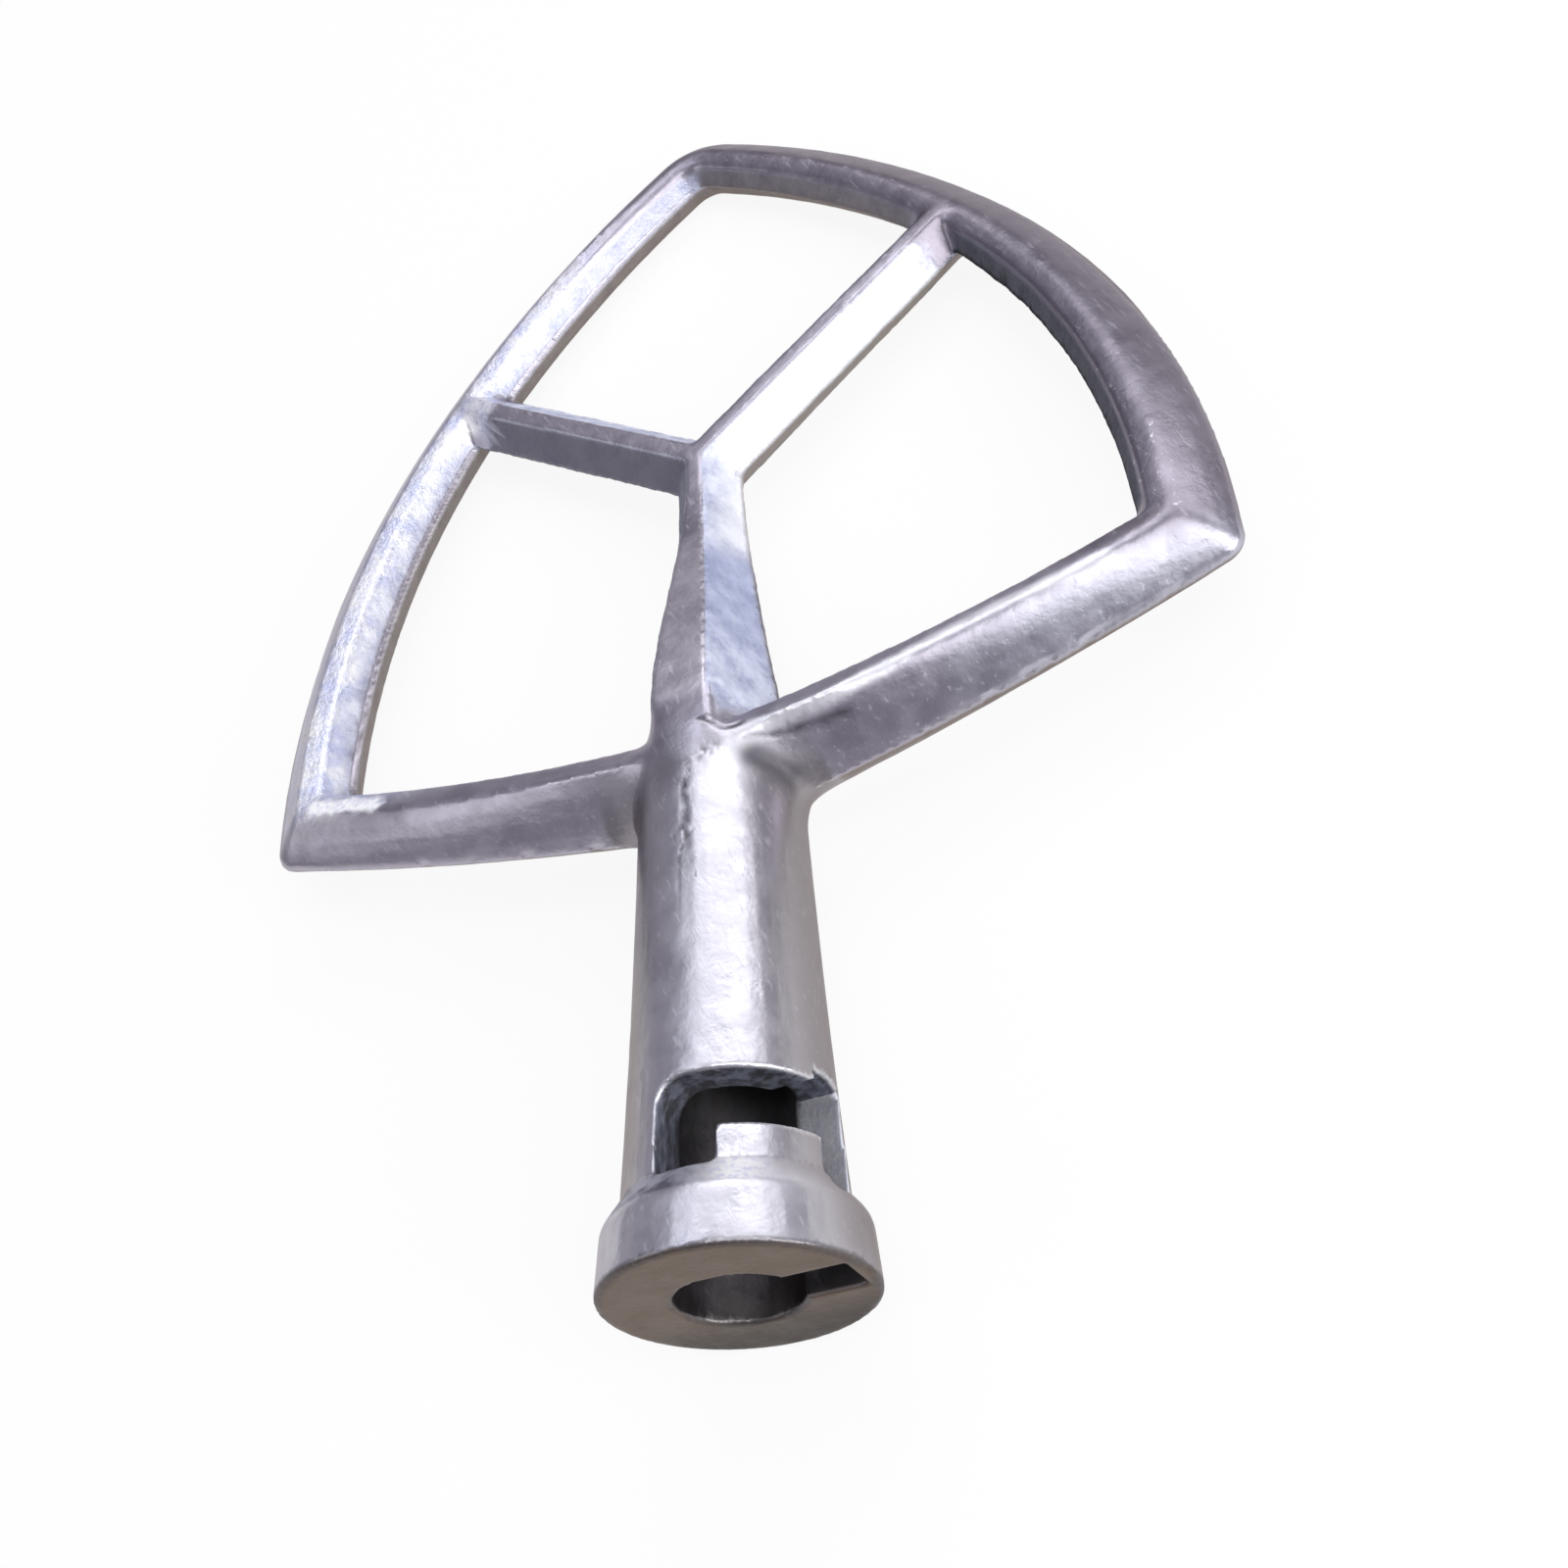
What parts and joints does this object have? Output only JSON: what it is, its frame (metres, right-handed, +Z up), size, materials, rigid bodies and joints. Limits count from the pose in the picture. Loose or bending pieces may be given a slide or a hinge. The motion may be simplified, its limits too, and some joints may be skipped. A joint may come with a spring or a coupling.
{
  "type": "mixer paddle attachment",
  "caption": "Flat cast paddle beater for a stand mixer: a hub with a slotted shaft bore carries an open pointed frame braced by a forked rib.",
  "frame": {"origin": "centre of the outline seen from above, on the table it lies on", "axes": "+X across the frame, towards the entry groove of the hub; +Y along the paddle from the hub mouth to the tip; +Z up. The shaft axis lies in the YZ plane, 3.35 degrees nose down."},
  "size_m": [0.1282, 0.1828, 0.0281],
  "materials": {
    "casting": "burnished as-cast aluminium, rougher on the inner walls"
  },
  "bodies": {
    "root": {"paddle_casting": "casting"}
  },
  "joints": []
}
